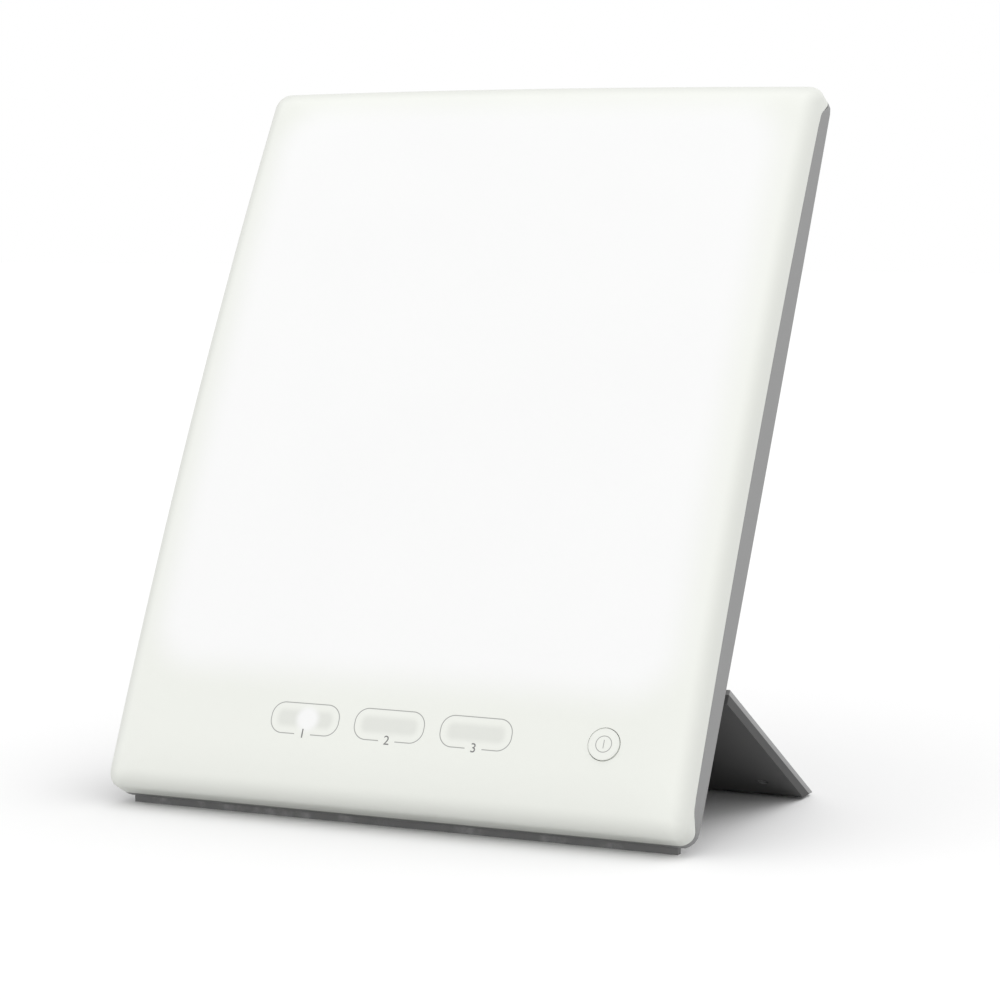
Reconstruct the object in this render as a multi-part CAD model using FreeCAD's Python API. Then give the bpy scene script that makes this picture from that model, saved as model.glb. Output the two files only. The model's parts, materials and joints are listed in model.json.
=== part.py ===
"""Light therapy lamp: a leaning, evenly lit panel with a fold-out plate stand.

Built upright in the panel's own frame: x across, y from the front to the back, z up from
the lower edge. Everything is then leaned back about the lower rear edge and stood on its feet.
"""
import FreeCAD
import Part
import math
import os
from FreeCAD import Vector

os.makedirs("parts", exist_ok=True)

# panel, overall
panel_width = 270.0
panel_height = 340.0
panel_depth = 28.0
lean_angle = 27.5
foot_lift = 2.2

# panel, form of the shell
front_arch = 5.3
front_crown = 2.3
side_bow = 0.4
edge_run = 24.0
edge_drop = 9.2
outline_radius = 6.7
inner_outline_radius = 11.9
back_edge_radius = 1.6
shell_wall = 2.2
least_radius = 1.0
edge_steps = 9
arch_steps = 5
flat_steps = 4
roll_steps = 7

# seam between the front and rear covers
seam_set_back = 0.3
rim_depth = 4.4
seam_end_flat = 2.6
seam_end_curve = 15.0
post_meet_set_back = 3.0

# screws that hold the covers, the boards and the stand
case_screw_radius = 1.5
case_screw_head_radius = 2.8
case_screw_head_height = 1.8
case_screw_grip = 6.0
case_post_radius = 3.4
case_screw_side_inset = 9.5
case_screw_end_inset = 17.0
screw_bore_gap = 0.2
board_screw_radius = 1.1
board_screw_head_radius = 2.1
board_screw_head_height = 1.2
board_screw_grip = 3.0
board_post_radius = 2.6
slot_width = 0.7
slot_depth = 0.6

# light: board, lamps, frame and diffuser
light_low = 66.0
light_high_margin = 25.0
light_side_margin = 23.0
led_board_thickness = 1.5
led_board_lift = 2.4
led_columns = 9
led_rows = 10
led_width = 3.5
led_height = 2.8
led_thickness = 0.7
frame_wall = 1.6
frame_slope = 5.0
frame_foot_width = 4.0
diffuser_thickness = 1.5
diffuser_depth = 9.2
diffuser_rim = 1.2

# control strip: board, button, windows
control_height = 34.0
control_board_half_height = 18.0
control_board_end = 18.0
control_board_thickness = 1.6
control_board_depth = 12.0
control_screw_margin = 1.4
button_inset = 38.6
button_radius = 6.7
button_guide_wall = 1.2
button_top_wall = 1.6
button_side_wall = 1.4
button_face_wall = 1.0
button_gap = 0.3
button_proud = 0.4
button_cap_height = 3.2
button_flange_radius = 8.4
button_flange_height = 1.0
button_stem_radius = 2.2
button_travel = 0.5
switch_side = 6.2
switch_height = 1.7
plunger_radius = 1.7
plunger_height = 0.9
plunger_floor = 0.4
window_pitch = 40.0
guide_width = 9.0
guide_height = 5.0
indicator_side = 2.4
indicator_height = 0.8
guide_gap = 0.25

# driver board and its parts
driver_length = 122.0
driver_end_gap = 8.6
driver_screw_margin = 0.4
driver_low = 12.0
driver_high = 56.0
driver_thickness = 1.6
driver_lift = 2.0
capacitor_radius = 4.0
capacitor_height = 7.4
capacitor_edge_radius = 0.5
capacitor_places = (26.0, 38.0, 98.0)
coil_radius = 6.0
coil_height = 5.0
coil_flange = 1.0
coil_place = 62.0
chip_width = 9.0
chip_height = 5.0
chip_thickness = 1.5
chip_places = (80.0, 112.0)
lead_radius = 0.7
lead_bend = 1.6
lead_spacing = 3.0
lead_place = 50.0
board_lead_inset = 12.0
board_lead_height = 22.8

# power inlet in the back
jack_inset = 73.0
jack_height = 36.0
jack_flange_radius = 6.4
jack_flange_thickness = 1.2
jack_barrel_radius = 4.6
jack_length = 12.0
jack_bore_radius = 2.85
jack_bore_depth = 9.5
jack_pin_radius = 1.05
jack_pin_inset = 1.5
jack_nut_radius = 6.6
jack_nut_thickness = 2.2
jack_hole_gap = 0.1

# stand and its hinge
hinge_height = 65.8
hinge_offset = 4.2
stand_overhang = 0.3
stand_thickness = 6.3
stand_skin = 2.2
stand_start = -1.5
stand_overrun = 4.8
stand_slope = 30.5
stand_corner_radius = 3.0
stand_pocket_depth = 2.2
stand_rim = 4.0
stand_rib_count = 4
stand_rib = 1.6
stand_screw_inset = 14.0
stand_foot_cut = 1.2
stand_foot_width = 5.0
stand_foot_inset = 8.0
stand_foot_bed = 1.5
knuckle_inset = 35.3
knuckle_width = 12.0
ear_width = 7.0
washer_thickness = 0.6
washer_gap = 0.1
barrel_radius = 3.15
ear_radius = 3.3
pin_radius = 1.6
pin_clearance = 0.05
pin_head_radius = 2.6
pin_head_thickness = 1.0
heel_length = 5.0
heel_reach = 6.2
heel_width = 10.0
heel_gap = 0.25
ear_notch_gap = 0.5

# rubber foot strip, bumpers and rating label
foot_strip_inset = 8.0
foot_strip_front = 1.2
foot_strip_back = 2.0
foot_strip_bed = 1.2
bumper_radius = 4.0
bumper_height = 0.7
bumper_reach_inset = 17.5
bumper_side_inset = 45.0
label_left = 18.0
label_right = 78.0
label_low = 22.0
label_high = 50.0
label_thickness = 0.15

# cutting tools go this far past what they cut
cut_past = 1.0

# worked-out places
half_width = panel_width / 2
half_height = panel_height / 2
corner_growth = (inner_outline_radius - outline_radius) / edge_run
back_inner = panel_depth - shell_wall
post_root = panel_depth - shell_wall / 2
led_board_back = back_inner - led_board_lift
led_board_front = led_board_back - led_board_thickness
light_high = panel_height - light_high_margin
light_half = half_width - light_side_margin
driver_back = back_inner - driver_lift
driver_front = driver_back - driver_thickness
control_board_back = control_board_depth + control_board_thickness
control_board_low = control_height - control_board_half_height
control_board_high = control_height + control_board_half_height
button_x = half_width - button_inset
window_xs = (-window_pitch, 0.0, window_pitch)
control_board_left = window_xs[0] - control_board_end
control_board_right = button_x + control_board_end
driver_right = control_board_right - driver_end_gap
driver_left = driver_right - driver_length
lead_x = driver_left + lead_place
jack_x = jack_inset - half_width
case_screw_x = half_width - case_screw_side_inset
case_screw_zs = (case_screw_end_inset, half_height, panel_height - case_screw_end_inset)
hinge_y = panel_depth + hinge_offset
notch_radius = ear_radius + hinge_offset
lean_turn = math.radians(lean_angle)
slope_turn = math.radians(stand_slope)
hinge_over_floor = foot_lift + hinge_height * math.cos(lean_turn) - hinge_offset * math.sin(lean_turn)
stand_width = panel_width + 2 * stand_overhang
stand_reach = hinge_over_floor / math.sin(slope_turn) + stand_overrun
knuckle_x = stand_width / 2 - knuckle_inset
foot_strip_half = half_width - foot_strip_inset
bumper_x = half_width - bumper_side_inset
bumper_height_on_back = hinge_height + stand_reach - bumper_reach_inset


def box(x, y, z):
    """Box from three (low, high) pairs."""
    return Part.makeBox(x[1] - x[0], y[1] - y[0], z[1] - z[0], Vector(x[0], y[0], z[0]))


def rod_y(x, z, y, radius):
    """Round bar along y between the two values in y."""
    return Part.makeCylinder(radius, y[1] - y[0], Vector(x, y[0], z), Vector(0, 1, 0))


def rod_x(x, y, z, radius):
    """Round bar along x between the two values in x."""
    return Part.makeCylinder(radius, x[1] - x[0], Vector(x[0], y, z), Vector(1, 0, 0))


def fuse(shapes):
    """One solid from several that meet."""
    first, *rest = shapes
    return first.multiFuse(rest) if rest else first


def arch(z):
    """How far the front falls back at height z, as a parabola from the middle."""
    return front_arch * ((z - half_height) / half_height) ** 2


def crown(x):
    """How far the front falls back at x, as a parabola from the middle."""
    return front_crown * (x / half_width) ** 2


def edge_distance(a, b, radius, growth):
    """Distance to a round-cornered outline, a and b in from its two straight edges.

    Each inner outline has a corner radius that grows with the distance, so the distance
    in a corner is the positive root of a quadratic.
    """
    near = max(min(a, b), 0.0)
    if max(a, b) >= radius + (1 + growth) * near:
        return near
    m = 1 + growth
    p = radius - a
    q = radius - b
    square = 2 * m * m - growth * growth
    half = m * (p + q) - growth * radius
    rest = p * p + q * q - radius * radius
    return max((-half + math.sqrt(max(half * half - square * rest, 0.0))) / square, 0.0)


def drop(distance, run, depth):
    """Elliptic roll-over: full depth at the outline, none from the run inwards."""
    if distance >= run:
        return 0.0
    return depth * (1 - math.sqrt(max(1 - (1 - distance / run) ** 2, 0.0)))


def section(z, inset):
    """Closed outline of the shell at height z, drawn in by inset on every side."""
    radius = max(outline_radius - inset, least_radius)
    run = edge_run - inset
    back_radius = max(back_edge_radius, least_radius)
    end = half_height - inset - abs(z - half_height)
    full = half_width - inset + side_bow * (1 - ((z - half_height) / half_height) ** 2)
    cut = radius - math.sqrt(max(radius ** 2 - (radius - end) ** 2, 0.0)) if end < radius else 0.0
    wide = full - cut
    shares = [1 - math.cos(math.pi / 2 * k / roll_steps) for k in range(roll_steps + 1)]
    front_in = [cut + (run - cut) * s for s in shares]
    flat_in = [run + (full - run) * (k + 1) / flat_steps for k in range(flat_steps)]
    back_in = [cut + back_radius * s for s in shares]

    def front_point(a):
        far = edge_distance(a, end, radius, corner_growth)
        x = full - a
        return Vector(x, inset + arch(z) + crown(x) + drop(far, run, edge_drop), z)

    def back_point(a):
        far = edge_distance(a, end, radius, 0.0)
        return Vector(full - a, panel_depth - inset - drop(far, back_radius, back_radius), z)

    roll = [front_point(a) for a in front_in]
    middle = [front_point(a) for a in flat_in]
    turn = [back_point(a) for a in back_in]
    right = [
        Part.LineSegment(turn[0], roll[0]).toShape(),
        curve_through(roll),
    ]
    front = curve_through(roll[-1:] + middle + mirrored(roll[-1:] + middle[:-1], True))
    left = [
        curve_through(mirrored(roll, True)),
        Part.LineSegment(mirrored(roll)[0], mirrored(turn)[0]).toShape(),
    ]
    back = [
        curve_through(mirrored(turn)),
        Part.LineSegment(mirrored(turn)[-1], turn[-1]).toShape(),
        curve_through(list(reversed(turn))),
    ]
    return Part.Wire(right + [front] + left + back)


def mirrored(points, backwards=False):
    """The same points on the other side of the middle."""
    other = [Vector(-v.x, v.y, v.z) for v in points]
    return list(reversed(other)) if backwards else other


def curve_through(points):
    """Smooth edge through points."""
    curve = Part.BSplineCurve()
    curve.interpolate(points)
    return curve.toShape()


def form(inset):
    """The panel's closed outer form, or the same form drawn in by inset."""
    low = [inset + (edge_run - inset) * (k / edge_steps) ** 2 for k in range(edge_steps)]
    span = half_height - edge_run
    middle = [edge_run + span * k / arch_steps for k in range(arch_steps + 1)]
    zs = low + middle
    zs = zs + [panel_height - z for z in reversed(zs[:-1])]
    return Part.makeLoft([section(z, inset) for z in zs], True, True)


def seam_depth(z):
    """Depth of the seam on the side wall, just behind the rolled edge."""
    return edge_drop + arch(z) + crown(half_width) + seam_set_back


def seam_edges():
    """Seam as seen from the side: flat ends, two S-curves and a long arc between."""
    low = seam_end_flat
    high = panel_height - seam_end_flat
    start = seam_end_curve
    stop = panel_height - seam_end_curve
    deep = panel_depth - rim_depth
    slope = 2 * front_arch / half_height
    past = shell_wall
    span = seam_end_curve - seam_end_flat

    def s_curve(a, b, direction):
        curve = Part.BSplineCurve()
        curve.interpolate([a, b], InitialTangent=direction[0], FinalTangent=direction[1])
        return curve.toShape()

    p0 = Vector(0, deep, -past)
    p1 = Vector(0, deep, low)
    p2 = Vector(0, seam_depth(start), start)
    p3 = Vector(0, seam_depth(half_height), half_height)
    p4 = Vector(0, seam_depth(stop), stop)
    p5 = Vector(0, deep, high)
    p6 = Vector(0, deep, panel_height + past)
    lean_in = Vector(0, -slope, 1) * span
    lean_out = Vector(0, slope, 1) * span
    straight = Vector(0, 0, 1) * span
    return [
        Part.LineSegment(p0, p1).toShape(),
        s_curve(p1, p2, (straight, lean_in)),
        Part.Arc(p2, p3, p4).toShape(),
        s_curve(p4, p5, (lean_out, straight)),
        Part.LineSegment(p5, p6).toShape(),
    ], p0, p6


def behind_seam():
    """Block that holds everything behind the seam."""
    edges, first, last = seam_edges()
    far = 2 * panel_depth
    a = Vector(0, far, last.z)
    b = Vector(0, far, first.z)
    edges = edges + [
        Part.LineSegment(last, a).toShape(),
        Part.LineSegment(a, b).toShape(),
        Part.LineSegment(b, first).toShape(),
    ]
    face = Part.Face(Part.Wire(edges))
    face.translate(Vector(-panel_width, 0, 0))
    return face.extrude(Vector(2 * panel_width, 0, 0))


def case_screw_places():
    """Centres of the six screws that hold the two covers together."""
    return [(side * case_screw_x, z) for side in (-1, 1) for z in case_screw_zs]


def case_joint_depth(z):
    """Depth at which a front post meets its rear post."""
    return max(seam_depth(z) + post_meet_set_back, edge_drop + front_arch)


def led_board_screws():
    """Centres of the six screws of the lamp board."""
    x = light_half - case_post_radius
    low = light_low + case_post_radius
    high = light_high - case_post_radius
    return [(side * x, z) for side in (-1, 1) for z in (low, (low + high) / 2, high)]


def control_board_screws():
    """Centres of the four screws of the control board."""
    inset = board_post_radius + control_screw_margin
    xs = (control_board_left + inset, control_board_right - inset)
    zs = (control_board_low + inset, control_board_high - inset)
    return [(x, z) for x in xs for z in zs]


def driver_board_screws():
    """Centres of the four screws of the driver board."""
    inset = board_post_radius + driver_screw_margin
    xs = (driver_left + inset, driver_right - inset)
    zs = (driver_low + inset, driver_high - inset)
    return [(x, z) for x in xs for z in zs]


def board_screw(x, z, face):
    """Screw whose head sits on a board's front face and whose shank goes rearwards."""
    head = rod_y(x, z, (face - board_screw_head_height, face), board_screw_head_radius)
    shank = rod_y(x, z, (face, face + board_screw_grip), board_screw_radius)
    top = face - board_screw_head_height
    slot = box(
        (x - board_screw_head_radius, x + board_screw_head_radius),
        (top, top + slot_depth),
        (z - slot_width / 2, z + slot_width / 2),
    )
    return fuse([head, shank]).cut(slot)


def make_front_cover():
    """Opal front shell, with its screw posts and the button's hole and guide ring."""
    shell = hull.cut(behind_seam())
    posts = []
    for x, z in case_screw_places():
        posts.append(rod_y(x, z, (0, case_joint_depth(z)), case_post_radius))
    posts = [post.common(filled_form) for post in posts]
    ring_end = button_face + button_cap_height
    ring_radius = button_radius + button_gap + button_guide_wall
    guide = rod_y(button_x, control_height, (0, ring_end), ring_radius)
    shell = fuse([shell] + posts + [guide.common(filled_form)])
    hole = rod_y(button_x, control_height, (-cut_past, panel_depth), button_radius + button_gap)
    shell = shell.cut(hole)
    for x, z in case_screw_places():
        end = case_joint_depth(z)
        shell = shell.cut(rod_y(x, z, (end - case_screw_grip, end), case_screw_radius))
    return shell.cut(foot_bar())


def make_rear_cover():
    """Grey rear shell, with posts for screws and boards, and the hinge ears."""
    shell = hull.common(behind_seam())
    adds = []
    cuts = []
    for x, z in case_screw_places():
        start = case_joint_depth(z)
        adds.append(rod_y(x, z, (start, post_root), case_post_radius))
        cuts.append(rod_y(x, z, (start, panel_depth), case_screw_radius + screw_bore_gap))
        seat = panel_depth - case_screw_head_height - slot_depth
        seat_radius = case_screw_head_radius + screw_bore_gap
        cuts.append(rod_y(x, z, (seat, panel_depth + cut_past), seat_radius))
    boards = (
        (led_board_screws(), led_board_back),
        (driver_board_screws(), driver_back),
        (control_board_screws(), control_board_back),
    )
    for places, face in boards:
        for x, z in places:
            adds.append(rod_y(x, z, (face, post_root), board_post_radius))
            bore_end = min(face + board_screw_grip, back_inner)
            cuts.append(rod_y(x, z, (face, bore_end), board_screw_radius))
    for side in (-1, 1):
        adds.extend(hinge_ears(side))
    shell = fuse([shell] + adds)
    outside = panel_depth + cut_past
    hole = (back_inner - cut_past, outside)
    seat = (panel_depth - jack_flange_thickness, outside)
    cuts.append(rod_y(jack_x, jack_height, hole, jack_barrel_radius + jack_hole_gap))
    cuts.append(rod_y(jack_x, jack_height, seat, jack_flange_radius))
    cuts.append(rod_x((-half_width, half_width), hinge_y, hinge_height, pin_radius))
    cuts.append(foot_bar())
    for cut in cuts:
        shell = shell.cut(cut)
    return shell


def ear_spans(side):
    """Two x spans of the ears that hold one knuckle between them."""
    centre = side * knuckle_x
    gap = knuckle_width / 2 + washer_thickness + 2 * washer_gap
    return [(centre - gap - ear_width, centre - gap), (centre + gap, centre + gap + ear_width)]


def hinge_ears(side):
    """Ears on the back: a round end about the pin with a root blended into the wall."""
    ears = []
    for span in ear_spans(side):
        round_end = rod_x(span, hinge_y, hinge_height, ear_radius)
        root = box(span, (post_root, hinge_y), (hinge_height - ear_radius, hinge_height + ear_radius))
        ears.append(fuse([round_end, root]))
    return ears


def foot_bar():
    """Level bar along the lower rear edge, from the floor up into the shell."""
    across = (-foot_strip_half, foot_strip_half)
    return to_panel(box(across, (-foot_strip_front, foot_strip_back), (-foot_lift, foot_strip_bed)))


def make_foot_strip():
    """Rubber strip let into the lower rear edge, flat on the floor."""
    return foot_bar().cut(inner_form)


def lean_matrix():
    """Turn about the lower rear edge that leans the upright panel back."""
    turn = FreeCAD.Placement(
        Vector(0, 0, 0), FreeCAD.Rotation(Vector(1, 0, 0), -lean_angle), Vector(0, panel_depth, 0)
    )
    move = FreeCAD.Placement(Vector(0, -panel_depth, foot_lift), FreeCAD.Rotation())
    return move.multiply(turn)


def to_panel(shape):
    """Takes a shape drawn about the standing lower rear edge back into the upright frame."""
    moved = shape.copy()
    moved.translate(Vector(0, 0, foot_lift))
    moved.transformShape(lean_matrix().inverse().toMatrix())
    return moved


def lean(shape):
    """Leans a finished upright piece back and stands it on its foot."""
    moved = shape.copy()
    moved.transformShape(lean_matrix().toMatrix())
    return moved


def make_case_screws():
    """Six screws with slotted heads, sunk in the back."""
    screws = []
    for x, z in case_screw_places():
        seat = panel_depth - case_screw_head_height - slot_depth
        head = rod_y(x, z, (seat, seat + case_screw_head_height), case_screw_head_radius)
        shank = rod_y(x, z, (case_joint_depth(z) - case_screw_grip + 1, seat), case_screw_radius)
        top = seat + case_screw_head_height
        depth = (top - slot_depth, top)
        long = case_screw_head_radius - slot_width
        thin = slot_width / 2
        slots = [
            box((x - long, x + long), depth, (z - thin, z + thin)),
            box((x - thin, x + thin), depth, (z - long, z + long)),
        ]
        screw = fuse([head, shank])
        for slot in slots:
            screw = screw.cut(slot)
        screws.append(screw)
    return Part.Compound(screws)


def make_led_board():
    """Aluminium-core lamp board with its screw holes."""
    board = box((-light_half, light_half), (led_board_front, led_board_back), (light_low, light_high))
    bore = board_screw_radius + screw_bore_gap
    for x, z in led_board_screws():
        board = board.cut(rod_y(x, z, (led_board_front, led_board_back), bore))
    return board


def led_places():
    """Even grid of lamps over the board, clear of its rim."""
    rim = frame_foot_width + frame_wall + led_width
    width = 2 * (light_half - rim)
    height = light_high - light_low - 2 * rim
    xs = [-width / 2 + width * (k + 0.5) / led_columns for k in range(led_columns)]
    zs = [light_low + rim + height * (k + 0.5) / led_rows for k in range(led_rows)]
    return [(x, z) for x in xs for z in zs]


def make_leds():
    """Lamps on the board's front face."""
    lamps = []
    for x, z in led_places():
        lamps.append(
            box(
                (x - led_width / 2, x + led_width / 2),
                (led_board_front - led_thickness, led_board_front),
                (z - led_height / 2, z + led_height / 2),
            )
        )
    return Part.Compound(lamps)


def rectangle(y, half, low, high):
    """Closed rectangle in the plane at depth y."""
    points = [Vector(-half, y, low), Vector(half, y, low), Vector(half, y, high), Vector(-half, y, high)]
    return Part.makePolygon(points + points[:1])


def make_light_frame():
    """White tray wall from the board out to the diffuser, leaning outwards towards the front."""
    front = diffuser_depth
    back = led_board_front
    seat = front + diffuser_thickness
    outer = box((-light_half, light_half), (front, back), (light_low, light_high))
    opening = frame_wall + diffuser_rim
    foot = opening + frame_slope
    hollow = Part.makeLoft(
        [
            rectangle(seat, light_half - opening, light_low + opening, light_high - opening),
            rectangle(back, light_half - foot, light_low + foot, light_high - foot),
        ],
        True,
        True,
    )
    sheet_bed = box(
        (-light_half + frame_wall, light_half - frame_wall),
        (front, seat),
        (light_low + frame_wall, light_high - frame_wall),
    )
    frame = outer.cut(hollow).cut(sheet_bed)
    for x, z in led_board_screws():
        frame = frame.cut(rod_y(x, z, (front, back), board_screw_head_radius + screw_bore_gap))
    notch = box(
        (lead_x - lead_spacing, lead_x + 2 * lead_spacing),
        (back - led_thickness - 4 * lead_radius - lead_bend, back),
        (light_low, light_low + foot + cut_past),
    )
    return frame.cut(notch)


def make_diffuser():
    """Flat diffuser sheet in the tray's bed."""
    gap = screw_bore_gap
    half = light_half - frame_wall - gap
    low = light_low + frame_wall + gap
    high = light_high - frame_wall - gap
    sheet = box((-half, half), (diffuser_depth, diffuser_depth + diffuser_thickness), (low, high))
    for x, z in led_board_screws():
        sheet = sheet.cut(
            rod_y(x, z, (diffuser_depth, led_board_front), board_screw_head_radius + 2 * screw_bore_gap)
        )
    return sheet


def make_board_screws():
    """Screws of the lamp, driver and control boards."""
    screws = [board_screw(x, z, led_board_front) for x, z in led_board_screws()]
    screws += [board_screw(x, z, driver_front) for x, z in driver_board_screws()]
    screws += [board_screw(x, z, control_board_depth) for x, z in control_board_screws()]
    return Part.Compound(screws)


def make_control_board():
    """Board behind the control strip."""
    board = box(
        (control_board_left, control_board_right),
        (control_board_depth, control_board_back),
        (control_board_low, control_board_high),
    )
    for x, z in control_board_screws():
        hole = (control_board_depth, control_board_back)
        board = board.cut(rod_y(x, z, hole, board_screw_radius + screw_bore_gap))
    return board


def make_driver_board():
    """Board that feeds the lamps, near the back wall."""
    board = box((driver_left, driver_right), (driver_front, driver_back), (driver_low, driver_high))
    for x, z in driver_board_screws():
        board = board.cut(rod_y(x, z, (driver_front, driver_back), board_screw_radius + screw_bore_gap))
    return board


def make_capacitors():
    """Round capacitors that stand on the driver board."""
    middle = (driver_low + driver_high) / 2
    cans = []
    top = driver_front - capacitor_height
    for place in capacitor_places:
        can = rod_y(driver_left + place, middle, (top, driver_front), capacitor_radius)
        rim = [edge for edge in can.Edges if edge.BoundBox.YMax < top + capacitor_edge_radius]
        cans.append(can.makeFillet(capacitor_edge_radius, rim))
    return Part.Compound(cans)


def make_coil():
    """Drum-shaped coil with a wound waist."""
    middle = (driver_low + driver_high) / 2
    x = driver_left + coil_place
    top = driver_front - coil_height
    waist = (top + coil_flange, driver_front - coil_flange)
    parts = [
        rod_y(x, middle, (waist[1], driver_front), coil_radius),
        rod_y(x, middle, waist, coil_radius - coil_flange),
        rod_y(x, middle, (top, waist[0]), coil_radius),
    ]
    return fuse(parts)


def make_chips():
    """Flat chips on the driver board."""
    middle = (driver_low + driver_high) / 2
    chips = []
    for place in chip_places:
        x = driver_left + place
        chips.append(
            box(
                (x - chip_width / 2, x + chip_width / 2),
                (driver_front - chip_thickness, driver_front),
                (middle - chip_height / 2, middle + chip_height / 2),
            )
        )
    return Part.Compound(chips)


def bent_wire(points, radius, bend):
    """Round wire through points: straight runs joined by tangent arcs of one radius."""
    edges = []
    here = points[0]
    for before, corner, after in zip(points, points[1:], points[2:]):
        back = (before - corner).normalize()
        ahead = (after - corner).normalize()
        half_turn = (math.pi - back.getAngle(ahead)) / 2
        reach = bend * math.tan(half_turn)
        start = corner + back * reach
        stop = corner + ahead * reach
        middle_way = (back + ahead).normalize()
        centre = corner + middle_way * (bend / math.cos(half_turn))
        middle = centre - middle_way * bend
        edges.append(Part.LineSegment(here, start).toShape())
        edges.append(Part.Arc(start, middle, stop).toShape())
        here = stop
    edges.append(Part.LineSegment(here, points[-1]).toShape())
    path = Part.Wire(edges)
    circle = Part.Wire(Part.Circle(points[0], points[1] - points[0], radius).toShape())
    return path.makePipeShell([circle], True, False)


def make_led_leads():
    """Two wires from the driver board over to the lamp board, through the tray's notch."""
    rise = led_board_front - led_thickness - 2 * lead_radius - lead_bend
    low = driver_high - 2 * board_post_radius
    high = light_low + frame_slope + frame_wall + diffuser_rim + led_height
    wires = []
    for x in (lead_x, lead_x + lead_spacing):
        route = [
            Vector(x, driver_front, low),
            Vector(x, rise, low),
            Vector(x, rise, high),
            Vector(x, led_board_front, high),
        ]
        wires.append(bent_wire(route, lead_radius, lead_bend))
    return Part.Compound(wires)


def make_board_leads():
    """Two wires from the control board back to the driver board."""
    first = driver_left + board_lead_inset
    run = (control_board_back, driver_front)
    wires = [rod_y(x, board_lead_height, run, lead_radius) for x in (first, first + lead_spacing)]
    return Part.Compound(wires)


def make_indicators():
    """Three small indicator lamps on the control board."""
    lamps = []
    half = indicator_side / 2
    for x in window_xs:
        lamps.append(
            box(
                (x - half, x + half),
                (control_board_depth - indicator_height, control_board_depth),
                (control_height - half, control_height + half),
            )
        )
    return Part.Compound(lamps)


def make_guides():
    """Clear light guides from the indicator lamps to the back of the front wall."""
    guides = []
    for x in window_xs:
        block = box(
            (x - guide_width / 2, x + guide_width / 2),
            (0, control_board_depth),
            (control_height - guide_height / 2, control_height + guide_height / 2),
        )
        half = indicator_side / 2 + guide_gap
        pocket = box(
            (x - half, x + half),
            (control_board_depth - indicator_height - guide_gap, control_board_depth),
            (control_height - half, control_height + half),
        )
        guides.append(block.common(inner_form).cut(pocket))
    return Part.Compound(guides)


def make_button():
    """Button cap: flush round face, retaining flange and stem down to the plunger."""
    face = button_face - button_proud
    flange_top = button_face + button_cap_height + button_travel / 2
    plunger_top = control_board_depth - switch_height - plunger_height
    cap = rod_y(button_x, control_height, (face, flange_top), button_radius)
    flange_end = flange_top + button_flange_height
    flange = rod_y(button_x, control_height, (flange_top, flange_end), button_flange_radius)
    hollow = (face + button_top_wall, flange_end + cut_past)
    dish = rod_y(button_x, control_height, hollow, button_radius - button_side_wall)
    stem = rod_y(button_x, control_height, (face + button_face_wall, plunger_top), button_stem_radius)
    return fuse([fuse([cap, flange]).cut(dish), stem])


def make_switch_body():
    """Body of the push switch under the button, with its round plunger hole."""
    half = switch_side / 2
    body = box(
        (button_x - half, button_x + half),
        (control_board_depth - switch_height, control_board_depth),
        (control_height - half, control_height + half),
    )
    well = (control_board_depth - switch_height, control_board_depth - plunger_floor)
    return body.cut(rod_y(button_x, control_height, well, plunger_radius + pin_clearance))


def make_plunger():
    """Plunger that the button's stem presses."""
    top = control_board_depth - switch_height - plunger_height
    end = control_board_depth - plunger_floor - button_travel
    return rod_y(button_x, control_height, (top, end), plunger_radius)


def make_jack():
    """Round power inlet: outer flange, barrel through the wall and a blind bore."""
    face = panel_depth
    under = face - jack_flange_thickness
    flange = rod_y(jack_x, jack_height, (under, face), jack_flange_radius - jack_hole_gap)
    barrel = rod_y(jack_x, jack_height, (face - jack_length, under), jack_barrel_radius)
    bore = rod_y(jack_x, jack_height, (face - jack_bore_depth, face), jack_bore_radius)
    return fuse([flange, barrel]).cut(bore)


def make_jack_pin():
    """Centre pin of the inlet, standing on the bore's floor."""
    floor = panel_depth - jack_bore_depth
    return rod_y(jack_x, jack_height, (floor, panel_depth - jack_pin_inset), jack_pin_radius)


def make_jack_nut():
    """Hexagon nut that clamps the inlet from inside."""
    points = []
    for k in range(7):
        angle = math.radians(60 * k)
        offset = Vector(math.cos(angle), 0, math.sin(angle)) * jack_nut_radius
        points.append(Vector(jack_x, back_inner - jack_nut_thickness, jack_height) + offset)
    nut = Part.Face(Part.makePolygon(points)).extrude(Vector(0, jack_nut_thickness, 0))
    return nut.cut(rod_y(jack_x, jack_height, (0, panel_depth), jack_barrel_radius))


def stand_box(x, s, n):
    """Box on the stand: x across, s out from the hinge axis, n up from its middle plane."""
    return Part.makeBox(x[1] - x[0], s[1] - s[0], n[1] - n[0], Vector(x[0], s[0], n[0]))


def stand_outline(s0, s1, n0, n1, half, radius):
    """Plate with round corners at its foot end."""
    plate = stand_box((-half, half), (s0, s1), (n0, n1))
    upright = [e for e in plate.Edges if e.BoundBox.XLength + e.BoundBox.YLength < cut_past]
    edges = [e for e in upright if e.BoundBox.YMin > (s0 + s1) / 2]
    return plate.makeFillet(radius, edges)


def stand_to_panel(shape):
    """Takes a piece of the stand from its own frame to its open place on the upright panel."""
    moved = shape.copy()
    turn = FreeCAD.Rotation(Vector(1, 0, 0), lean_angle - stand_slope)
    moved.transformShape(FreeCAD.Placement(Vector(0, hinge_y, hinge_height), turn).toMatrix())
    return moved


def floor_block(height):
    """Everything under a level plane at the given height over the floor, in the upright frame."""
    size = 2 * panel_height
    return to_panel(box((-size, size), (-size, size), (-size, height - foot_lift)))


def hinge_notches():
    """Space in the stand for each hinge, over both of its ears and the pin's head."""
    cuts = []
    gap = ear_notch_gap + pin_head_thickness
    for side in (-1, 1):
        near, far = ear_spans(side)
        wide = (near[0] - gap, far[1] + gap)
        cuts.append(rod_x(wide, 0, 0, notch_radius))
    return cuts


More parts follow.
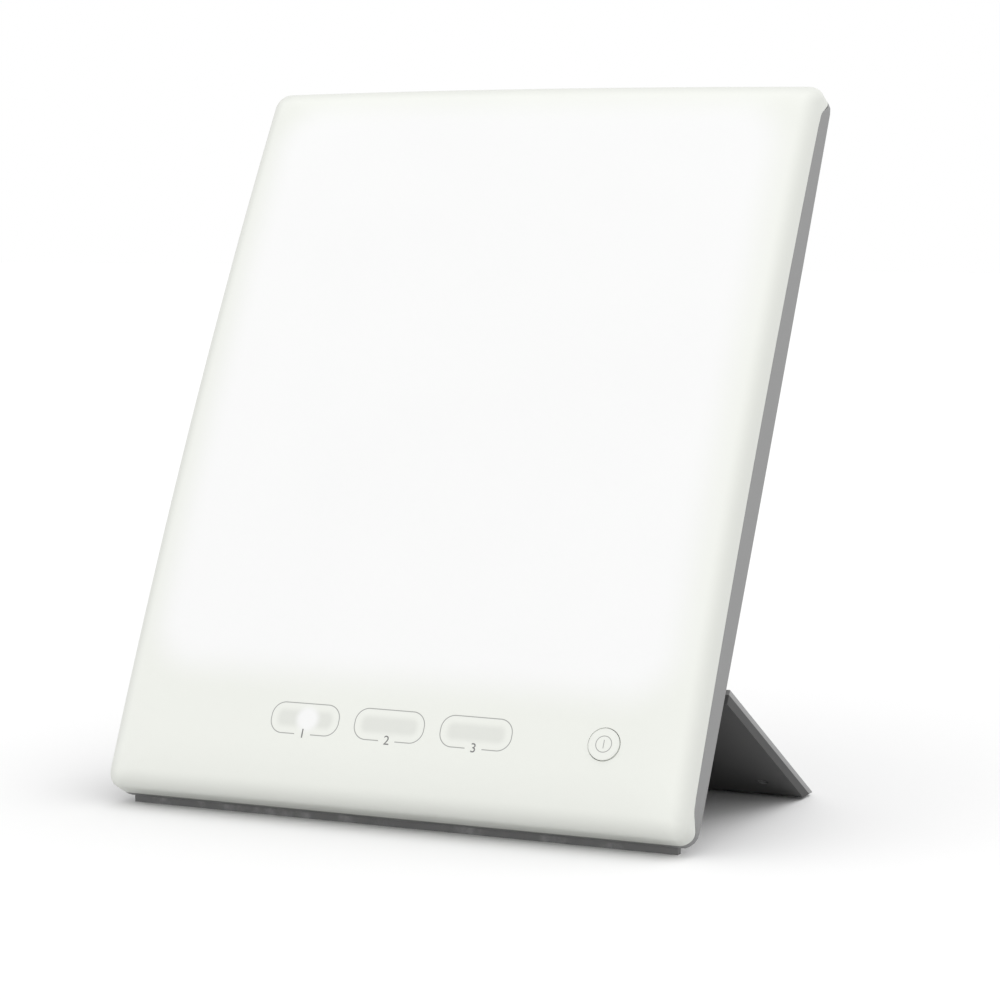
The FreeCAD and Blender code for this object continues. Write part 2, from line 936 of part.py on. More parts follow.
def make_stand_plate():
    """Upper skin of the stand."""
    top = stand_thickness / 2
    plate = stand_outline(
        stand_start, stand_reach, top - stand_skin, top, stand_width / 2, stand_corner_radius
    )
    for cut in hinge_notches():
        plate = plate.cut(cut)
    return stand_to_panel(plate).cut(floor_block(stand_foot_cut)).cut(stand_foot_block())


def stand_screw_places():
    """Centres (x, s) of the four screws that hold the stand's two halves together."""
    x = stand_width / 2 - stand_screw_inset
    near = notch_radius + stand_screw_inset
    far = stand_reach - 2 * stand_screw_inset
    return [(side * x, s) for side in (-1, 1) for s in (near, far)]


def make_stand_cover():
    """Lower tray of the stand, with pockets and ribs, hinge knuckles and stop heels."""
    bottom = -stand_thickness / 2
    top = stand_thickness / 2 - stand_skin
    half = stand_width / 2
    tray = stand_outline(stand_start, stand_reach, bottom, top, half, stand_corner_radius)
    far = stand_reach - stand_thickness / math.sin(math.radians(stand_slope)) - stand_rim
    near = notch_radius + stand_rim
    pitch = (2 * half - 2 * stand_rim + stand_rib) / (stand_rib_count + 1)
    for k in range(stand_rib_count + 1):
        left = -half + stand_rim + k * pitch
        pocket = stand_box((left, left + pitch - stand_rib), (near, far), (top - stand_pocket_depth, top))
        tray = tray.cut(pocket)
    floor = top - stand_pocket_depth
    bosses = []
    for x, s in stand_screw_places():
        bosses.append(Part.makeCylinder(board_post_radius, stand_pocket_depth, Vector(x, s, floor)))
    knuckles = []
    bores = []
    for side in (-1, 1):
        centre = side * knuckle_x
        span = (centre - knuckle_width / 2, centre + knuckle_width / 2)
        bores.append(rod_x(span, 0, 0, pin_radius + pin_clearance))
        knuckles.append(rod_x(span, 0, 0, barrel_radius))
        knuckles.append(stand_box(span, (0, notch_radius + cut_past), (bottom, top)))
        heel = (centre - heel_width / 2, centre + heel_width / 2)
        drop_span = (bottom - heel_length, bottom + cut_past)
        knuckles.append(stand_box(heel, (-hinge_offset, heel_reach), drop_span))
    notches = hinge_notches()
    for cut in notches:
        tray = tray.cut(cut)
    tray = fuse([tray] + bosses + knuckles)
    for bore in bores:
        tray = tray.cut(bore)
    shaft = board_screw_radius + screw_bore_gap
    seat = board_screw_head_radius + screw_bore_gap
    for x, s in stand_screw_places():
        foot = Vector(x, s, bottom)
        tray = tray.cut(Part.makeCylinder(shaft, stand_thickness, foot))
        tray = tray.cut(Part.makeCylinder(seat, board_screw_head_height, foot))
    placed = stand_to_panel(tray)
    wall = box((-half, half), (0, panel_depth + heel_gap), (0, panel_height))
    placed = placed.cut(wall)
    return placed.cut(floor_block(stand_foot_cut)).cut(stand_foot_block())


def stand_foot_block():
    """Rubber strip let into the stand's cut end, in the upright frame."""
    hinge = lean_matrix().multVec(Vector(0, hinge_y, hinge_height))
    middle = hinge.z / math.tan(slope_turn) + hinge.y
    strip = box(
        (-stand_width / 2 + stand_foot_inset, stand_width / 2 - stand_foot_inset),
        (middle - stand_foot_width / 2, middle + stand_foot_width / 2),
        (0, stand_foot_cut + stand_foot_bed),
    )
    strip.transformShape(lean_matrix().inverse().toMatrix())
    return strip


def make_stand_screws():
    """Screws from below that hold the stand's skin to its tray."""
    screws = []
    bottom = -stand_thickness / 2
    for x, s in stand_screw_places():
        head_radius = board_screw_head_radius
        head = Part.makeCylinder(head_radius, board_screw_head_height, Vector(x, s, bottom))
        neck = bottom + board_screw_head_height
        top = stand_thickness / 2 - stand_skin
        shank = Part.makeCylinder(board_screw_radius, top - neck, Vector(x, s, neck))
        across = (s - slot_width / 2, s + slot_width / 2)
        slot = stand_box((x - head_radius, x + head_radius), across, (bottom, bottom + slot_depth))
        screws.append(stand_to_panel(fuse([head, shank]).cut(slot)))
    return Part.Compound(screws)


def make_hinge_pin(side):
    """Pin through both ears and the knuckle, with a head on its outer end."""
    spans = ear_spans(side)
    low = spans[0][0]
    high = spans[1][1]
    shank = rod_x((low, high), hinge_y, hinge_height, pin_radius)
    outer = (high, high + pin_head_thickness) if side > 0 else (low - pin_head_thickness, low)
    return fuse([shank, rod_x(outer, hinge_y, hinge_height, pin_head_radius)])


def make_hinge_washers():
    """Friction washers between the ears and the knuckles."""
    washers = []
    for side in (-1, 1):
        centre = side * knuckle_x
        inner = knuckle_width / 2 + washer_gap
        for a, b in ((-inner - washer_thickness, -inner), (inner, inner + washer_thickness)):
            disc = rod_x((centre + a, centre + b), hinge_y, hinge_height, barrel_radius)
            washers.append(disc.cut(rod_x((centre + a, centre + b), hinge_y, hinge_height, pin_radius)))
    return Part.Compound(washers)


def make_bumpers():
    """Two thin rubber discs on the back that the folded stand rests against."""
    discs = []
    for side in (-1, 1):
        span = (panel_depth, panel_depth + bumper_height)
        discs.append(rod_y(side * bumper_x, bumper_height_on_back, span, bumper_radius))
    return Part.Compound(discs)


def make_label():
    """Blank label on the back, below the hinge."""
    depth = (panel_depth, panel_depth + label_thickness)
    return box((label_left, label_right), depth, (label_low, label_high))


outer_form = form(0.0)
inner_form = form(shell_wall)
hull = outer_form.cut(inner_form)
filled_form = form(shell_wall / 2)
button_face = arch(control_height) + crown(button_x)

pieces = {
    "front_cover": make_front_cover(),
    "rear_cover": make_rear_cover(),
    "case_screws": make_case_screws(),
    "led_board": make_led_board(),
    "leds": make_leds(),
    "light_frame": make_light_frame(),
    "diffuser_sheet": make_diffuser(),
    "board_screws": make_board_screws(),
    "control_board": make_control_board(),
    "driver_board": make_driver_board(),
    "driver_capacitors": make_capacitors(),
    "driver_coil": make_coil(),
    "driver_chips": make_chips(),
    "led_leads": make_led_leads(),
    "board_leads": make_board_leads(),
    "indicator_lamps": make_indicators(),
    "indicator_guides": make_guides(),
    "power_button": make_button(),
    "switch_body": make_switch_body(),
    "switch_plunger": make_plunger(),
    "power_inlet": make_jack(),
    "inlet_pin": make_jack_pin(),
    "inlet_nut": make_jack_nut(),
    "stand_plate": make_stand_plate(),
    "stand_cover": make_stand_cover(),
    "stand_foot": stand_foot_block(),
    "stand_screws": make_stand_screws(),
    "hinge_pin_left": make_hinge_pin(-1),
    "hinge_pin_right": make_hinge_pin(1),
    "hinge_washers": make_hinge_washers(),
    "foot_strip": make_foot_strip(),
    "back_bumpers": make_bumpers(),
    "rating_label": make_label(),
}

placed = {name: lean(shape) for name, shape in pieces.items()}
bounds = [shape.optimalBoundingBox() for shape in placed.values()]
centre_y = (min(b.YMin for b in bounds) + max(b.YMax for b in bounds)) / 2
for name, shape in placed.items():
    shape.translate(Vector(0, -centre_y, 0))
    shape.exportStep("parts/" + name + ".step")


def in_row(x, y, z):
    """Where a point of the upright panel ends up."""
    return lean_matrix().multVec(Vector(x, y, z)) - Vector(0, centre_y, 0)


print("hinge axis", in_row(0, hinge_y, hinge_height))
print("button face", in_row(button_x, button_face, control_height))
print("inlet mouth", in_row(jack_x, panel_depth, jack_height))
print("lower rear edge", in_row(0, panel_depth, 0))
for name, shape in placed.items():
    print(name, len(shape.Solids), round(shape.Volume / 1000, 2), shape.isValid())
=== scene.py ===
"""Looks of a light therapy lamp: a leaning, evenly lit opal panel on a fold-out plate stand.

Lengths are metres. Shapes of the panel are written in its own frame, x across, depth back
from the middle of its front and height up from its lower edge, and to_row() leans them.
"""
import json
import math

import bmesh
import bpy
import numpy as np
from bpy.props import FloatProperty, FloatVectorProperty, PointerProperty
from mathutils import Matrix, Vector


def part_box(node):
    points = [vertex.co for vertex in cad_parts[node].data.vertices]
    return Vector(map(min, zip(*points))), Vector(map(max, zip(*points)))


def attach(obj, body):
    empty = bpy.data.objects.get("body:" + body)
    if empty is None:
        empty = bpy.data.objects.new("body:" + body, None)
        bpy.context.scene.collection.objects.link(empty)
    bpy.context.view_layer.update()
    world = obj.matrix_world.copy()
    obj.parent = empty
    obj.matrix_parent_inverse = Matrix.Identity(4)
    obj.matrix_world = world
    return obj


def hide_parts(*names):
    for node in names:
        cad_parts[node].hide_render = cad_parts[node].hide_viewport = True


bl_info = {
    "name": "Light therapy lamp",
    "version": (1, 0, 0),
    "blender": (4, 5, 0),
    "location": "3D View > Sidebar > Lamp",
    "description": "Builds the looks of a leaning light therapy lamp around its solid model",
    "category": "Add Mesh",
}

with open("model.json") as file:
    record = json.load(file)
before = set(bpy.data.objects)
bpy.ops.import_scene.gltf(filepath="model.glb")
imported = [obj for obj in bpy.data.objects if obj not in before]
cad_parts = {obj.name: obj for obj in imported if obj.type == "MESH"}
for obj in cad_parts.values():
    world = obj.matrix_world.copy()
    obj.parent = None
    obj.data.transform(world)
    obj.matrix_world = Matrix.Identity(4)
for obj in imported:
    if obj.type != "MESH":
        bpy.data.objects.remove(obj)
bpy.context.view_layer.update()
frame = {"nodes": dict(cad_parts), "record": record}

JOINTS = {joint["name"]: joint for joint in frame["record"]["behaviour"]["joints"]}
MOUNTS = {mount["name"]: mount for mount in frame["record"]["mounts"]}
PRESS = JOINTS["button_press"]["axis"]
LEAN = math.atan2(-PRESS[2], PRESS[1])
SIN = math.sin(LEAN)
COS = math.cos(LEAN)
INLET = MOUNTS["power_inlet_mouth"]["pos_m"]
INLET_HEIGHT = 0.036
EDGE_Y = INLET[1] - INLET_HEIGHT * SIN
EDGE_Z = INLET[2] - INLET_HEIGHT * COS
button_low, button_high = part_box("power_button")
BUTTON_X = (button_low[0] + button_high[0]) / 2
SHARP = 35.0
BLACK = (0.0, 0.0, 0.0)
WHITE = (1.0, 1.0, 1.0)


def size(name, words, default, **more):
    """Property for a length in metres."""
    return FloatProperty(name=name, description=words, default=default, unit="LENGTH", precision=5, **more)


def tint(name, words, default):
    """Property for a colour."""
    return FloatVectorProperty(name=name, description=words, default=default, subtype="COLOR", size=3,
                               min=0.0, max=1.0)


class PanelShape(bpy.types.PropertyGroup):
    """Sizes of the panel's opal front shell."""

    width: size("Width", "Width of the panel", 0.270)
    height: size("Height", "Height of the panel along its lean", 0.340)
    thickness: size("Thickness", "Depth of the closed panel", 0.028)
    arch: size("Arch", "How far the ends fall back from the middle", 0.0053)
    crown: size("Crown", "How far the sides fall back from the middle", 0.0023)
    bow: size("Bow", "How far the sides bulge at half height", 0.0004)
    run: size("Edge run", "Width of the rolled edge", 0.024)
    drop: size("Edge drop", "Depth of the rolled edge", 0.0092)
    corner: size("Corner", "Corner radius of the outline", 0.0067)
    inner_corner: size("Inner corner", "Corner radius where the rolled edge begins", 0.0119)
    wall: size("Wall", "Thickness of the shell", 0.0022)
    seam_back: size("Seam set-back", "How far the seam lies behind the rolled edge", 0.0003)
    seam_rim: size("Rim", "Depth left to the rear cover at the two ends", 0.0044)
    seam_flat: size("Seam flat", "Height of the seam's level end", 0.0026)
    seam_curve: size("Seam curve", "Height at which the seam meets the side wall", 0.015)
    seam_chamfer: size("Seam chamfer", "Small chamfer that draws the seam as a thin line", 0.00022)
    button: size("Button radius", "Radius of the push button's cap", 0.0067)
    hole_gap: size("Button gap", "Gap round the push button", 0.0003)
    guide_wall: size("Guide wall", "Wall of the ring behind the shell that guides the button", 0.0012)
    guide_end: size("Guide depth", "Depth of the guide ring's end behind the front surface", 0.0032)
    post_inset: size("Post inset", "Distance of the end screw posts from the panel's ends", 0.017)
    post_side: size("Post side inset", "Distance of the screw posts from the panel's sides", 0.0095)
    control_height: size("Control height", "Height of the button and windows", 0.034)


class LightLook(bpy.types.PropertyGroup):
    """How the lit area looks through the opal front."""

    half_width: size("Half width", "Half width of the lit area at half glow", 0.1215)
    low: size("Lower end", "Height at which the glow has faded by half, low", 0.0540)
    high: size("Upper end", "Height at which the glow has faded by half, high", 0.3270)
    fade: size("Fade", "Width over which the glow fades", 0.0230)
    glow: tint("Glow", "Light that the lit area adds", (0.078, 0.066, 0.112))
    shade: FloatProperty(name="Edge shade", description="How much darker the edge ends", default=0.20)
    shade_width: size("Edge shade width", "Width over which the rolled edge darkens", 0.008)
    shell: tint("Shell", "Colour of the opal shell", (0.885, 0.900, 0.850))
    # painted shade: this dark colour stands for the shadow down in the seam's thin gap
    seam: tint("Seam", "Colour down in the seam's thin gap", (0.13, 0.13, 0.13))


class WindowLook(bpy.types.PropertyGroup):
    """Printed windows of the control strip and the marks on them."""

    pitch: size("Pitch", "Distance between neighbouring windows", 0.0398)
    width: size("Width", "Width of a window's outline", 0.0322)
    height: size("Height", "Height of a window's outline", 0.0134)
    corner: size("Corner", "Corner radius of a window's outline", 0.0060)
    line: size("Line", "Width of the printed line", 0.00032)
    gap: size("Gap", "Opening in the outline for the number", 0.0076)
    spot: size("Spot", "Radius of the indicator's light spot", 0.0056)
    spot_side: size("Spot place", "How far the light spot lies right of its window's middle", 0.0012)
    number: size("Number", "Height of the printed numbers", 0.0040)
    ink: tint("Ink", "Colour of the printed lines", (0.20, 0.20, 0.20))


class BackLook(bpy.types.PropertyGroup):
    """Colours of the grey back and stand."""

    back: tint("Back", "Colour of the rear cover", (0.245, 0.245, 0.245))
    skin: tint("Stand skin", "Colour of the stand's upper skin", (0.29, 0.29, 0.29))
    # painted shade: the tray is darkened far below the back's grey so that it looks like the shade on the
    # stand's underside
    tray: tint("Stand tray", "Colour of the stand's lower tray", (0.078, 0.078, 0.078))
    # partly painted shade: a rubber grey, set light enough that the foot strip under the lower edge looks
    # like the floor's shade there
    rubber: tint("Rubber", "Colour of the feet and bumpers", (0.19, 0.19, 0.19))


class StageLook(bpy.types.PropertyGroup):
    """Camera and light of the picture."""

    azimuth: FloatProperty(name="Azimuth", description="Camera's turn to the right", default=25.11)
    elevation: FloatProperty(name="Elevation", description="Camera's height over the horizon", default=5.73)
    distance: size("Distance", "From the camera to the point it looks at", 1.24344)
    aim_side: size("Aim side", "How far beside the middle the camera looks", 0.04337)
    aim_height: size("Aim height", "How far above the lower edge the camera looks", 0.13505)
    lens: FloatProperty(name="Lens", description="Focal length in millimetres", default=108.25)
    sky: FloatProperty(name="Sky", description="Strength of the light from all round", default=1.0)
    key: FloatProperty(name="Key", description="Strength of the soft lamp overhead", default=0.6)
    spread: FloatProperty(name="Spread", description="Width of the soft lamp", default=1.0, subtype="ANGLE")
    lamp_from: FloatVectorProperty(name="Lamp from", description="Direction that the soft lamp shines from",
                                   default=(0.35, 0.45, 0.82), subtype="DIRECTION", size=3)
    floor_gain: FloatProperty(name="Floor", description="Brightness of the floor to the eye", default=1.14)
    floor_tone: FloatProperty(name="Floor tone", description="Light the floor gives back", default=0.80)
    floor_half: size("Floor size", "Half size of the floor", 9.0)


def settings(name):
    """Values of one property group on the scene."""
    return getattr(bpy.context.scene, "lamp_" + name)


def to_row(points):
    """Leans panel points: the lower rear edge's place, plus the height times the lean's own
    direction (0, sin, cos) and the depth behind that edge times (0, cos, -sin)."""
    back = points[..., 1] - settings("panel").thickness
    high = points[..., 2]
    y = EDGE_Y + back * COS + high * SIN
    z = EDGE_Z - back * SIN + high * COS
    return np.stack([points[..., 0], y, z], -1)


def fall(x, height):
    """How far the front falls back: arch times the square of the share of half the height,
    plus crown times the square of the share of half the width."""
    p = settings("panel")
    along = (height - p.height / 2) / (p.height / 2)
    return p.arch * along ** 2 + p.crown * (x / (p.width / 2)) ** 2


def roll(distance, run):
    """Depth of the rolled edge: a quarter ellipse, full at the outline and none from run in."""
    share = np.clip(1 - distance / run, 0, 1)
    return settings("panel").drop * (1 - np.sqrt(1 - share ** 2))


def front_depth(x, height):
    """Depth of the front surface: its fall plus the roll at the distance to the nearest edge."""
    p = settings("panel")
    near = np.minimum(p.width / 2 - np.abs(x), np.minimum(height, p.height - height))
    return fall(x, height) + roll(near, p.run)


def seam_depth(height):
    """Depth of the seam by height: just behind the rolled edge on the side walls, level at the
    two ends, and a cubic Hermite curve between that leaves both without a corner."""
    p = settings("panel")
    end = p.height / 2 - np.abs(height - p.height / 2)
    deep = p.thickness - p.seam_rim
    span = p.seam_curve - p.seam_flat

    def wall(z):
        return p.drop + p.seam_back + fall(p.width / 2, z)

    t = np.clip((end - p.seam_flat) / span, 0, 1)
    slope = -4 * p.arch / p.height * span
    curve = (2 * t ** 3 - 3 * t ** 2 + 1) * deep + (3 * t ** 2 - 2 * t ** 3) * wall(p.seam_curve)
    curve = curve + (t ** 3 - t ** 2) * slope
    return np.where(t < 1, curve, wall(end))


def outlines(inset, radius, corner_steps=14, side_steps=56):
    """Round-cornered rectangles about the panel's middle, one for each inset: four quarter
    circles of the ring's radius, joined by straight runs that are divided evenly. The sides
    bulge by the bow times one less the squared share of half the height."""
    p = settings("panel")
    inset = np.asarray(inset, float)[:, None]
    radius = np.asarray(radius, float)[:, None]
    half = np.array([p.width / 2, p.height / 2])
    signs = [(1, 1), (-1, 1), (-1, -1), (1, -1)]
    arcs = []
    for turn, (sx, sz) in enumerate(signs):
        angle = (np.linspace(0, 1, corner_steps) + turn) * math.pi / 2
        x = sx * (half[0] - inset - radius) + radius * np.cos(angle)
        z = sz * (half[1] - inset - radius) + radius * np.sin(angle)
        arcs.append(np.stack([x, z], -1))
    share = (np.arange(side_steps) + 1)[:, None] / (side_steps + 1)
    runs = []
    for arc, after in zip(arcs, arcs[1:] + arcs[:1]):
        start = arc[:, -1:, :]
        stop = after[:, :1, :]
        runs.extend([arc, start + (stop - start) * share])
    rings = np.concatenate(runs, 1)
    bulge = 1 + p.bow / half[0] * (1 - (rings[..., 1] / half[1]) ** 2)
    return rings[..., 0] * bulge, rings[..., 1] + half[1]


def shell_rows(inset, field_steps=18, roll_steps=22):
    """One skin of the front, from its middle out to the outline, drawn in by inset: rings
    shrunk to the middle on the open field, then rings whose distance from the outline is
    run times (1 - sin a) and whose extra depth is drop times (1 - cos a)."""
    p = settings("panel")
    run = p.run - inset
    growth = (p.inner_corner - p.corner) / p.run
    angle = np.linspace(0, math.pi / 2, roll_steps)
    away = run * (1 - np.sin(angle))
    x, z = outlines(inset + away, p.corner - inset + growth * away)
    depth = inset + fall(x, z) + p.drop * (1 - np.cos(angle))[:, None]
    share = np.linspace(0, 1, field_steps, endpoint=False)[:, None]
    fx = x[:1] * share
    fz = p.height / 2 + (z[:1] - p.height / 2) * share
    field = np.stack([fx, inset + fall(fx, fz), fz], -1)
    return np.concatenate([field, np.stack([x, depth, z], -1)])


def front_shell_rows():
    """Rings of the whole closed shell: the outer skin from its middle to the outline, the side
    wall back to the seam with its small chamfer, the rim, and the inner skin back to the middle."""
    p = settings("panel")
    outer = shell_rows(0.0)
    inner = shell_rows(p.wall)
    edge = outer[-1]
    seam = seam_depth(edge[:, 2])
    wall = []
    for share in (0.35, 0.7, 0.96, 1.0):
        ring = edge.copy()
        ring[:, 1] += (seam - p.seam_chamfer - edge[:, 1]) * share
        wall.append(ring)
    x, z = outlines([p.seam_chamfer], [p.corner - p.seam_chamfer])
    lip = np.stack([x[0], seam_depth(z[0]), z[0]], -1)
    inner[..., 1] = np.minimum(inner[..., 1], seam_depth(inner[..., 2]))
    rim = inner[-1].copy()
    rim[:, 1] = seam_depth(rim[:, 2])
    # painted shade: these rows, the seam's chamfer, lip and rim, take the dark seam colour for the shadow
    # in the gap
    seam_shade_rows = np.zeros(len(outer) + len(wall) + 2 + len(inner))
    seam_shade_rows[len(outer) + len(wall) - 1:len(outer) + len(wall) + 2] = 1.0
    return np.concatenate([outer, np.stack(wall), lip[None], rim[None], inner[::-1]]), seam_shade_rows


def joined(rows, ends=True):
    """Points and faces of rows that go round: quads between neighbouring rows, with a fan to
    one point at each end, or, without ends, quads from the last row back to the first."""
    count, around = rows.shape[:2]
    k = np.arange(around)
    after = (k + 1) % around
    if not ends:
        first = np.arange(count)[:, None] * around
        second = (np.arange(count) + 1)[:, None] % count * around
        quads = np.stack([first + k, first + after, second + after, second + k], -1)
        return rows.reshape(-1, 3), quads.reshape(-1, 4).tolist()
    points = np.concatenate([rows[:1, 0], rows[1:-1].reshape(-1, 3), rows[-1:, 0]])
    first = 1 + np.arange(count - 3)[:, None] * around
    quads = np.stack([first + k, first + after, first + around + after, first + around + k], -1)
    last = 1 + (count - 3) * around
    start = np.stack([np.zeros_like(k), 1 + after, 1 + k], -1)
    stop = np.stack([np.full_like(k, len(points) - 1), last + k, last + after], -1)
    return points, quads.reshape(-1, 4).tolist() + start.tolist() + stop.tolist()


def turned(profile, x, height, around=64):
    """Rows of a round form about a line along the depth: each (radius, depth) of the profile
    goes round the centre as (x + r cos a, depth, height + r sin a)."""
    angle = np.linspace(0, 2 * math.pi, around, endpoint=False)
    radius = np.array([r for r, _ in profile])[:, None]
    depth = np.array([d for _, d in profile])[:, None] + 0 * angle
    return np.stack([x + radius * np.cos(angle), depth, height + radius * np.sin(angle)], -1)


def make_mesh(name, parts):
    """Mesh from (points, faces) parts in the row frame, its faces turned outwards and shaded
    smooth but for edges sharper than SHARP degrees."""
    mesh = bpy.data.meshes.new(name)
    faces = []
    start = 0
    for points, some in parts:
        faces += [[start + k for k in face] for face in some]
        start += len(points)
    mesh.from_pydata(np.concatenate([points for points, _ in parts]), [], faces)
    work = bmesh.new()
    work.from_mesh(mesh)
    bmesh.ops.recalc_face_normals(work, faces=work.faces)
    work.to_mesh(mesh)
    work.free()
    mesh.shade_smooth()
    mesh.set_sharp_from_angle(angle=math.radians(SHARP))
    mesh.validate()
    return mesh


def add_object(name, mesh, material=None):
    """Object at the origin that shows the mesh."""
    made = bpy.data.objects.new(name, mesh)
    bpy.context.scene.collection.objects.link(made)
    if material:
        mesh.materials.clear()
        mesh.materials.append(material)
    return made


def cut_away(body, rows):
    """Takes a closed round form out of an object's mesh."""
    cutter = add_object("cutter", make_mesh("cutter", [joined(rows)]))
    cut = body.modifiers.new("cut", "BOOLEAN")
    cut.operation = "DIFFERENCE"
    cut.solver = "EXACT"
    cut.object = cutter
    graph = bpy.context.evaluated_depsgraph_get()
    mesh = bpy.data.meshes.new_from_object(body.evaluated_get(graph))
    body.modifiers.clear()
    body.data = mesh
    bpy.data.objects.remove(cutter)


class Value:
    """A socket of a node tree. Arithmetic on it adds Math nodes, so a formula reads as written."""

    def __init__(self, tree, socket):
        self.tree = tree
        self.socket = socket

    def math(self, operation, *inputs):
        return add(self.tree, "ShaderNodeMath", {"operation": operation}, dict(enumerate(inputs)))[0]

    def __add__(self, other):
        return self.math("ADD", self, other)

    def __sub__(self, other):
        return self.math("SUBTRACT", self, other)

    def __rsub__(self, other):
        return self.math("SUBTRACT", other, self)

    def __mul__(self, other):
        return self.math("MULTIPLY", self, other)

    def __truediv__(self, other):
        return self.math("DIVIDE", self, other)

    def __abs__(self):
        return self.math("ABSOLUTE", self)

    __radd__ = __add__
    __rmul__ = __mul__

    def least(self, other):
        return self.math("MINIMUM", self, other)

    def most(self, other):
        return self.math("MAXIMUM", self, other)

    def root(self):
        return self.math("SQRT", self)

    def nearest(self):
        return self.math("ROUND", self)

    def over(self, other):
        return self.math("GREATER_THAN", self, other)

    def step(self, low, high):
        """Soft step from 0 at low to 1 at high."""
        ranged = {"interpolation_type": "SMOOTHSTEP"}
        return add(self.tree, "ShaderNodeMapRange", ranged, {0: self, 1: low, 2: high, 3: 0.0, 4: 1.0})[0]


def add(tree, kind, choices, inputs):
    """Adds a node, makes its choices, then sets or links its sockets, and gives its outputs."""
    node = tree.nodes.new(kind)
    for name, choice in choices.items():
        setattr(node, name, choice)
    for key, given in inputs.items():
        if isinstance(given, Value):
            tree.links.new(given.socket, node.inputs[key])
        else:
            node.inputs[key].default_value = given
    return [Value(tree, socket) for socket in node.outputs]


def blend_colours(tree, share, a, b):
    """Colour a where share is 0 and colour b where it is 1."""
    a, b = (c if isinstance(c, Value) else (*c, 1.0) for c in (a, b))
    return add(tree, "ShaderNodeMix", {"data_type": "RGBA"}, {0: share, 6: a, 7: b})[2]


def coordinates(tree):
    """Object coordinates as a vector and as x, y and z."""
    vector = add(tree, "ShaderNodeTexCoord", {}, {})[3]
    return vector, add(tree, "ShaderNodeSeparateXYZ", {}, {0: vector})


def panel_coordinates(tree):
    """Places on the leaned panel: x across and the height along (0, sin, cos)."""
    vector, (x, y, z) = coordinates(tree)
    return vector, x, (y - EDGE_Y) * SIN + (z - EDGE_Z) * COS


def noise(tree, vector, scale, detail=2.0, roughness=0.5):
    """Noise from 0 to 1 over a vector, with the number of grains in a metre."""
    inputs = {"Vector": vector, "Scale": scale, "Detail": detail, "Roughness": roughness}
    return add(tree, "ShaderNodeTexNoise", {}, inputs)[0]


def bump(tree, height, strength, distance):
    """Normal that shows a height from 0 to 1 as relief of the given distance."""
    inputs = {"Height": height, "Strength": strength, "Distance": distance}
    return add(tree, "ShaderNodeBump", {}, inputs)[0]


def round_box(x, z, half_x, half_z, corner):
    """Distance to a round-cornered rectangle, negative inside: the length of the part of the
    point beyond the inner rectangle, plus the larger overshoot where it is negative, less the
    corner radius."""
    beyond_x = abs(x) - (half_x - corner)
    beyond_z = abs(z) - (half_z - corner)
    out_x = beyond_x.most(0.0)
    out_z = beyond_z.most(0.0)
    inside = beyond_x.most(beyond_z).least(0.0)
    return (out_x * out_x + out_z * out_z).root() + inside - corner


def finish(name, fixed, paint):
    """Material whose uniform values are set on the shader's sockets, and whose varying inputs
    come from paint(tree) as a dict of socket name to Value."""
    material = bpy.data.materials.new(name)
    material.use_nodes = True
    tree = material.node_tree
    shader = tree.nodes["Principled BSDF"]
    for socket, value in fixed.items():
        shader.inputs[socket].default_value = value
    for socket, value in paint(tree).items():
        tree.links.new(value.socket, shader.inputs[socket])
    return material


def moulded(name, colour, rough=0.5, grain=1800.0, relief=0.00006, mottle=0.05, side=0.0, **fixed):
    """Moulded plastic: a fine spark-eroded grain, cloudy colour and uneven gloss. Faces that look
    to the left or right are darker by the share side, a painted shade."""

    def paint(tree):
        vector, _ = coordinates(tree)
        fine = noise(tree, vector, grain, 3.0)
        cloud = noise(tree, vector, grain / 60, 3.0, 0.6)
        dark = [c * (1 - mottle) for c in colour]
        pale = [min(c * (1 + mottle), 1.0) for c in colour]
        share = fine * 0.55 + cloud * 0.45
        mixed = blend_colours(tree, share.step(0.25, 0.75), dark, pale)
        # painted shade: faces looking left or right are darkened by the share side
        if side:
            normal = add(tree, "ShaderNodeTexCoord", {}, {})[1]
            across = add(tree, "ShaderNodeSeparateXYZ", {}, {0: normal})[0]
            mixed = blend_colours(tree, across * across * side, mixed, BLACK)
        return {
            "Base Color": mixed,
            "Roughness": cloud * 0.12 + fine * 0.08 + (rough - 0.1),
            "Normal": bump(tree, fine, 0.5, relief),
        }

    return finish(name, fixed, paint)


def drawn_metal(name, colour, rough=0.3, lay=(1.0, 1.0, 0.06)):
    """Machined metal: lines of the tool drawn along one axis, and a few dull patches."""

    def paint(tree):
        vector, _ = coordinates(tree)
        along = add(tree, "ShaderNodeMapping", {}, {0: vector, 3: lay})[0]
        lines = noise(tree, along, 5200.0, 3.0)
        patch = noise(tree, vector, 260.0, 2.0)
        dull = [c * 0.82 for c in colour]
        return {
            "Base Color": blend_colours(tree, patch.step(0.4, 0.7), colour, dull),
            "Roughness": lines * 0.16 + patch * 0.1 + (rough - 0.12),
            "Normal": bump(tree, lines, 0.35, 0.00003),
        }

    return finish(name, {"Metallic": 1.0}, paint)


def rubbery(name, colour, rough=0.78):
    """Soft matt rubber with a pebbled skin and paler rubbed spots."""

    def paint(tree):
        vector, _ = coordinates(tree)
        cells = add(tree, "ShaderNodeTexVoronoi", {}, {"Vector": vector, "Scale": 1500.0})[0]
        rub = noise(tree, vector, 90.0, 4.0, 0.6)
        pale = [min(c * 1.7 + 0.01, 1.0) for c in colour]
        return {
            "Base Color": blend_colours(tree, rub.step(0.5, 0.8), colour, pale),
            "Roughness": rub * 0.15 + (rough - 0.08),
            "Normal": bump(tree, cells, 0.5, 0.00008),
        }

    return finish(name, {"Specular IOR Level": 0.35}, paint)


